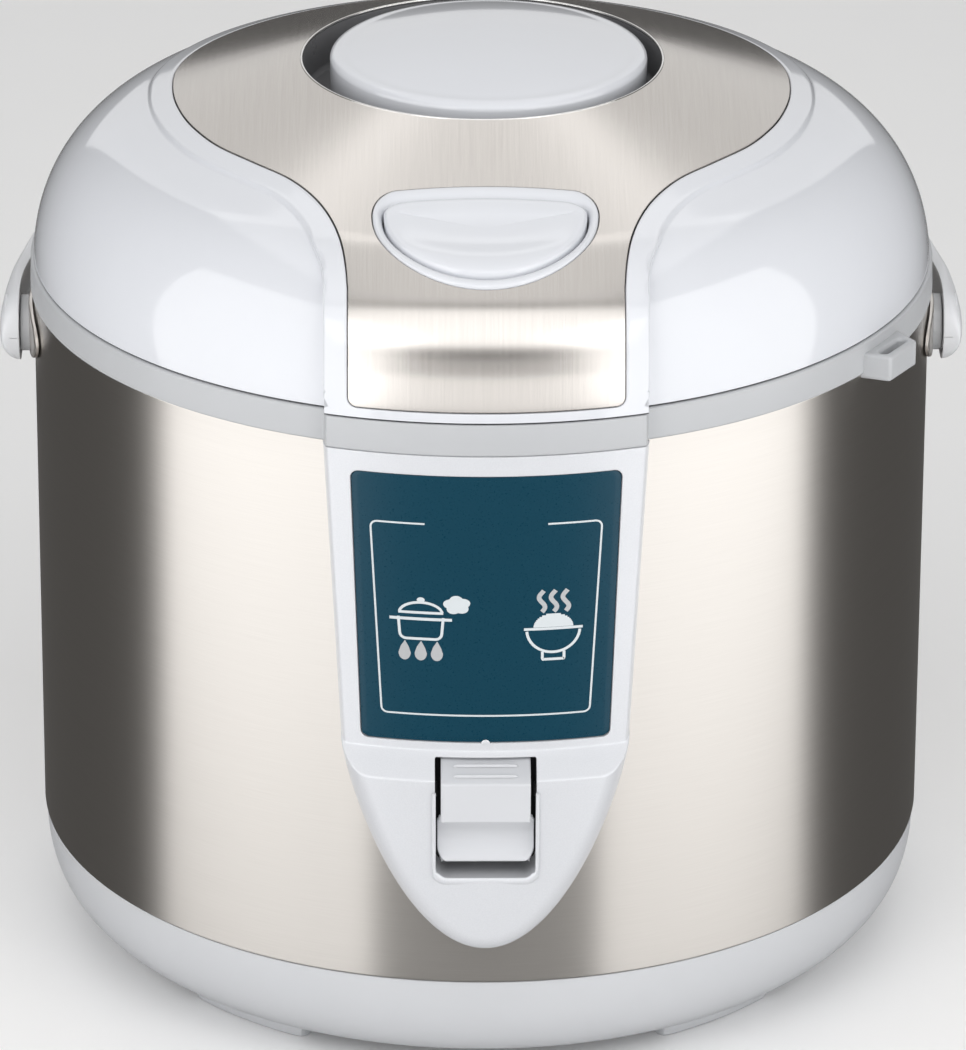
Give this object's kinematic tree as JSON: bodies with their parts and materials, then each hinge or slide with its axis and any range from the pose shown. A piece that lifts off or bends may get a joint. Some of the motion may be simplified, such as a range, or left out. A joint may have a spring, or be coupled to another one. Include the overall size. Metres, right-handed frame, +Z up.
{
  "type": "rice cooker",
  "caption": "Round jar rice cooker with a hinged domed lid, lift-off steam cap, release button, drop lever, carrying bail and lift-out pot.",
  "frame": {"origin": "on the floor under the middle of the part's bounding box", "axes": "+Z up, front with the lever towards -Y, +X to the right seen from the front"},
  "size_m": [0.29, 0.324, 0.2821],
  "materials": {
    "base_plastic": "fine satin",
    "collar_plastic": "satin",
    "panel_plastic": "silver satin lacquer",
    "teal_window": "printed teal, semi-gloss",
    "lever_plastic": "satin",
    "handle_plastic": "satin",
    "lid_plastic": "high gloss",
    "lid_inner_plastic": "satin",
    "clear_plastic": "milky",
    "brushed_steel": "brushed",
    "plain_steel": "mill finish",
    "screw_steel": "zinc plated",
    "cast_aluminium": "as cast, machined top",
    "pot_aluminium": "spun",
    "brass": "plain",
    "black_plastic": "satin",
    "board_green": "solder mask",
    "lamp_amber": "translucent",
    "silicone": "matt"
  },
  "bodies": {
    "cooker_body": {"base_housing": "base_plastic", "bottom_cover": "base_plastic", "feet": "base_plastic", "bottom_screws": "screw_steel", "body_shell": "brushed_steel", "upper_collar": "collar_plastic", "utensil_bracket": "collar_plastic", "front_bezel": "panel_plastic", "display_window": "teal_window", "control_board": "board_green", "indicator_lamps": "lamp_amber", "inner_liner": "plain_steel", "heating_plate": "cast_aluminium", "heater_terminals": "brass", "thermostat_housing": "plain_steel", "thermostat_spring": "screw_steel", "lever_bracket": "plain_steel", "lever_pin": "screw_steel", "micro_switch": "black_plastic", "power_inlet": "black_plastic", "inlet_pins": "brass", "handle_pivots": "collar_plastic", "hinge_bracket": "collar_plastic", "hinge_pin": "screw_steel", "hinge_springs": "screw_steel", "latch_catch": "plain_steel", "inner_pot": "pot_aluminium"},
    "carry_handle": {"carry_handle": "handle_plastic"},
    "lid": {"lid_outer_shell": "lid_plastic", "lid_steel_trim": "brushed_steel", "button_surround": "lid_plastic", "lid_inner_shell": "lid_inner_plastic", "lid_knuckle": "lid_plastic", "inner_lid_plate": "pot_aluminium", "lid_gasket": "silicone", "vent_tube": "lid_inner_plastic", "vent_seal": "silicone", "lid_screws": "screw_steel", "latch_pin": "screw_steel", "button_spring": "screw_steel"},
    "release_button": {"release_button": "lid_plastic"},
    "latch_hook": {"latch_hook": "plain_steel"},
    "steam_vent_cap": {"steam_vent_cap": "lid_plastic"},
    "cook_lever": {"cook_lever": "lever_plastic"},
    "thermostat_plunger": {"thermostat_plunger": "cast_aluminium"},
    "condensation_collector": {"condensation_collector": "clear_plastic"}
  },
  "joints": [
    {"name": "lid_hinge", "type": "hinge", "parent": "cooker_body", "child": "lid", "pos_m": [0, 0.12845, 0.208], "axis": [-1, 0, 0], "range_deg": [0, 80]},
    {"name": "handle_swing", "type": "hinge", "parent": "cooker_body", "child": "carry_handle", "pos_m": [0, -0.01405, 0.1903], "axis": [-1, 0, 0], "range_deg": [-86, 0]},
    {"name": "button_press", "type": "slide", "parent": "lid", "child": "release_button", "axis": [0, 0, -1], "range_m": [0, 0.003], "stiffness_N_per_m": 400, "deforming": ["button_spring"]},
    {"name": "hook_swing", "type": "hinge", "parent": "lid", "child": "latch_hook", "pos_m": [0, -0.13605, 0.232], "axis": [-1, 0, 0], "range_deg": [0, 9]},
    {"name": "cap_lift", "type": "slide", "parent": "lid", "child": "steam_vent_cap", "axis": [0, 0, 1], "range_m": [0, 0.02]},
    {"name": "lever_press", "type": "hinge", "parent": "cooker_body", "child": "cook_lever", "pos_m": [0, -0.13205, 0.104], "axis": [1, 0, 0], "range_deg": [0, 7], "stiffness_Nm_per_rad": 0.5},
    {"name": "plunger_press", "type": "slide", "parent": "cooker_body", "child": "thermostat_plunger", "axis": [0, 0, -1], "range_m": [0, 0.002], "stiffness_N_per_m": 500, "deforming": ["thermostat_spring"]},
    {"name": "collector_pull", "type": "slide", "parent": "cooker_body", "child": "condensation_collector", "axis": [0, 1, 0], "range_m": [0, 0.02]}
  ],
  "couplings": [
    {"joint": "hook_swing", "follows": "button_press", "rad_per_m": 46}
  ]
}
